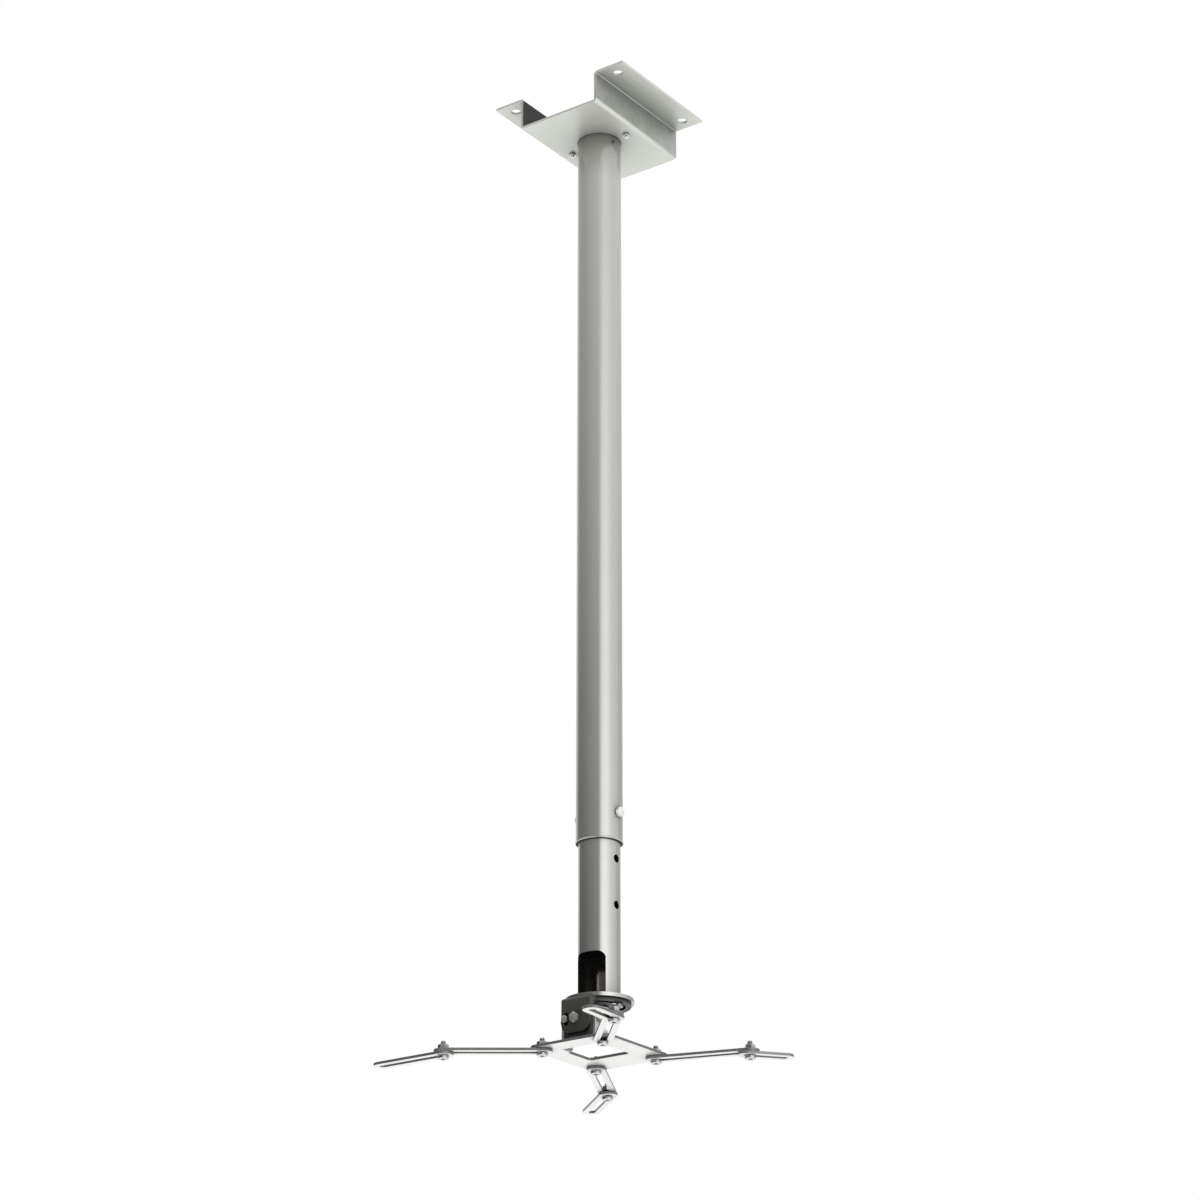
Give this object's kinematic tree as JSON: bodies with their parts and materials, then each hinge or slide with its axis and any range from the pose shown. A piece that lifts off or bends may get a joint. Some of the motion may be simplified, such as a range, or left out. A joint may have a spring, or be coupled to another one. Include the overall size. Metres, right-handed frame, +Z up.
{
  "type": "projector mount",
  "caption": "Telescopic ceiling mount for a projector: folded channel bracket, pole, three-axis head and square plate with four slotted folding arms.",
  "frame": {"origin": "on the ceiling, midway between the four ceiling holes, on the pole's axis", "axes": "+Z up into the ceiling, Y along the channel of the bracket, the front cheek of the head faces -Y"},
  "size_m": [0.3793, 0.3681, 1.1335],
  "materials": {
    "pole_paint": "satin silver grey paint",
    "head_paint": "satin dark grey paint",
    "arm_paint": "smooth light silver paint",
    "plated_steel": "bright zinc plating"
  },
  "bodies": {
    "ceiling": {"ceiling_bracket": "pole_paint", "outer_tube": "pole_paint", "tube_flange": "pole_paint", "flange_bolts": "plated_steel", "flange_washers": "plated_steel", "flange_nuts": "plated_steel", "pole_lock_screws": "plated_steel"},
    "pole": {"inner_tube": "pole_paint", "pole_flange": "pole_paint", "swivel_bolt": "plated_steel", "swivel_washer": "plated_steel", "swivel_nut": "plated_steel", "swivel_lock_screws": "plated_steel"},
    "swivel": {"swivel_plate": "head_paint", "roll_bolt": "plated_steel", "roll_nut": "plated_steel"},
    "knuckle": {"tilt_knuckle": "head_paint", "roll_lock_screw": "plated_steel", "tilt_screws": "plated_steel", "tilt_nuts": "plated_steel"},
    "spider": {"spider_plate": "arm_paint"},
    "near_corner": {"near_corner_screw": "plated_steel", "near_corner_nut": "plated_steel"},
    "near_inner": {"near_inner_link": "arm_paint"},
    "near_elbow": {"near_elbow_screw": "plated_steel", "near_elbow_nut": "plated_steel"},
    "near_outer": {"near_outer_link": "arm_paint"},
    "right_corner": {"right_corner_screw": "plated_steel", "right_corner_nut": "plated_steel"},
    "right_inner": {"right_inner_link": "arm_paint"},
    "right_elbow": {"right_elbow_screw": "plated_steel", "right_elbow_nut": "plated_steel"},
    "right_outer": {"right_outer_link": "arm_paint"},
    "far_corner": {"far_corner_screw": "plated_steel", "far_corner_nut": "plated_steel"},
    "far_inner": {"far_inner_link": "arm_paint"},
    "far_elbow": {"far_elbow_screw": "plated_steel", "far_elbow_nut": "plated_steel"},
    "far_outer": {"far_outer_link": "arm_paint"},
    "left_corner": {"left_corner_screw": "plated_steel", "left_corner_nut": "plated_steel"},
    "left_inner": {"left_inner_link": "arm_paint"},
    "left_elbow": {"left_elbow_screw": "plated_steel", "left_elbow_nut": "plated_steel"},
    "left_outer": {"left_outer_link": "arm_paint"}
  },
  "joints": [
    {"name": "pole_slide", "type": "slide", "parent": "ceiling", "child": "pole", "axis": [0, 0, 1], "range_m": [-0.45, 0.1]},
    {"name": "pan_swivel", "type": "hinge", "parent": "pole", "child": "swivel", "pos_m": [0, 0, -1.0743], "axis": [0, 0, 1], "range_deg": [-55, 55]},
    {"name": "roll_hinge", "type": "hinge", "parent": "swivel", "child": "knuckle", "pos_m": [0, -0.04, -1.0943], "axis": [0, 1, 0], "range_deg": [-12, 12]},
    {"name": "tilt_hinge", "type": "hinge", "parent": "knuckle", "child": "spider", "pos_m": [0, -0.029, -1.0943], "axis": [1, 0, 0], "range_deg": [-15, 15]},
    {"name": "near_corner_hinge", "type": "hinge", "parent": "spider", "child": "near_corner", "pos_m": [0.0385, -0.0475, -1.1233], "axis": [0, 0, 1], "range_deg": [-60, 60]},
    {"name": "near_inner_slide", "type": "slide", "parent": "near_corner", "child": "near_inner", "axis": [0.6691, -0.7431, 0], "range_m": [-0.04, 0]},
    {"name": "near_elbow_hinge", "type": "hinge", "parent": "near_inner", "child": "near_elbow", "pos_m": [0.10675, -0.1233, -1.1266], "axis": [0, 0, 1], "range_deg": [-90, 90]},
    {"name": "near_outer_slide", "type": "slide", "parent": "near_elbow", "child": "near_outer", "axis": [0.0523, -0.9986, 0], "range_m": [-0.034, 0]},
    {"name": "right_corner_hinge", "type": "hinge", "parent": "spider", "child": "right_corner", "pos_m": [0.0385, 0.0475, -1.1233], "axis": [0, 0, 1], "range_deg": [-60, 60]},
    {"name": "right_inner_slide", "type": "slide", "parent": "right_corner", "child": "right_inner", "axis": [0.9563, 0.2924, 0], "range_m": [-0.04, 0]},
    {"name": "right_elbow_hinge", "type": "hinge", "parent": "right_inner", "child": "right_elbow", "pos_m": [0.13604, 0.07732, -1.1266], "axis": [0, 0, 1], "range_deg": [-90, 90]},
    {"name": "right_outer_slide", "type": "slide", "parent": "right_elbow", "child": "right_outer", "axis": [0.6293, 0.7771, 0], "range_m": [-0.034, 0]},
    {"name": "far_corner_hinge", "type": "hinge", "parent": "spider", "child": "far_corner", "pos_m": [-0.0385, 0.0475, -1.1233], "axis": [0, 0, 1], "range_deg": [-60, 60]},
    {"name": "far_inner_slide", "type": "slide", "parent": "far_corner", "child": "far_inner", "axis": [-0.4848, 0.8746, 0], "range_m": [-0.04, 0]},
    {"name": "far_elbow_hinge", "type": "hinge", "parent": "far_inner", "child": "far_elbow", "pos_m": [-0.08795, 0.13671, -1.1266], "axis": [0, 0, 1], "range_deg": [-90, 90]},
    {"name": "far_outer_slide", "type": "slide", "parent": "far_elbow", "child": "far_outer", "axis": [-0.7547, 0.6561, 0], "range_m": [-0.06, 0]},
    {"name": "left_corner_hinge", "type": "hinge", "parent": "spider", "child": "left_corner", "pos_m": [-0.0385, -0.0475, -1.1233], "axis": [0, 0, 1], "range_deg": [-60, 60]},
    {"name": "left_inner_slide", "type": "slide", "parent": "left_corner", "child": "left_inner", "axis": [-0.809, -0.5878, 0], "range_m": [-0.04, 0]},
    {"name": "left_elbow_hinge", "type": "hinge", "parent": "left_inner", "child": "left_elbow", "pos_m": [-0.12102, -0.10745, -1.1266], "axis": [0, 0, 1], "range_deg": [-90, 90]},
    {"name": "left_outer_slide", "type": "slide", "parent": "left_elbow", "child": "left_outer", "axis": [-0.9998, -0.0175, 0], "range_m": [-0.06, 0]}
  ]
}
